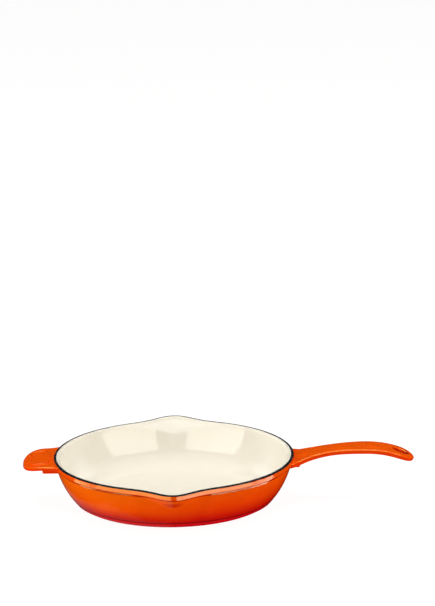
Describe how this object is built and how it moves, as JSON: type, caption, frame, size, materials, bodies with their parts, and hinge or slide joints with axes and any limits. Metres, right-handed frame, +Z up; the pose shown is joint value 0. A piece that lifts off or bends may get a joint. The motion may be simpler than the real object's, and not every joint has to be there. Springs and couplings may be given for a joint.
{
  "type": "enamelled cast iron skillet",
  "caption": "Round enamelled cast-iron skillet with pouring spouts, a raised rim band, a long arched handle with a hanging hole and a wide helper handle.",
  "frame": {"origin": "centre of the flat base that the pan stands on", "axes": "+Z up along the pan's axis; +X towards the long handle; +Y and -Y towards the two spouts"},
  "size_m": [0.4538, 0.3182, 0.0618],
  "materials": {
    "grey_iron": "rough as-cast iron",
    "cream_enamel": "glossy enamel",
    "flame_enamel": "glossy enamel, orange at the rim fading to red at the base",
    "enamelled_band": "glossy orange enamel over iron",
    "dark_ground_coat": "satin near-black enamel",
    "red_enamel": "glossy enamel",
    "handle_enamel": "glossy enamel",
    "enamelled_lug": "glossy orange enamel over iron"
  },
  "bodies": {
    "root": {"bowl_casting": "grey_iron", "interior_enamel": "cream_enamel", "exterior_enamel": "flame_enamel", "rim_band": "enamelled_band", "rim_edge_coat": "dark_ground_coat", "base_enamel": "red_enamel", "long_handle_casting": "grey_iron", "long_handle_enamel": "handle_enamel", "long_handle_lug": "enamelled_lug", "helper_handle_casting": "grey_iron", "helper_handle_enamel": "handle_enamel", "helper_handle_panel": "handle_enamel", "helper_handle_lug": "enamelled_lug"}
  },
  "joints": []
}
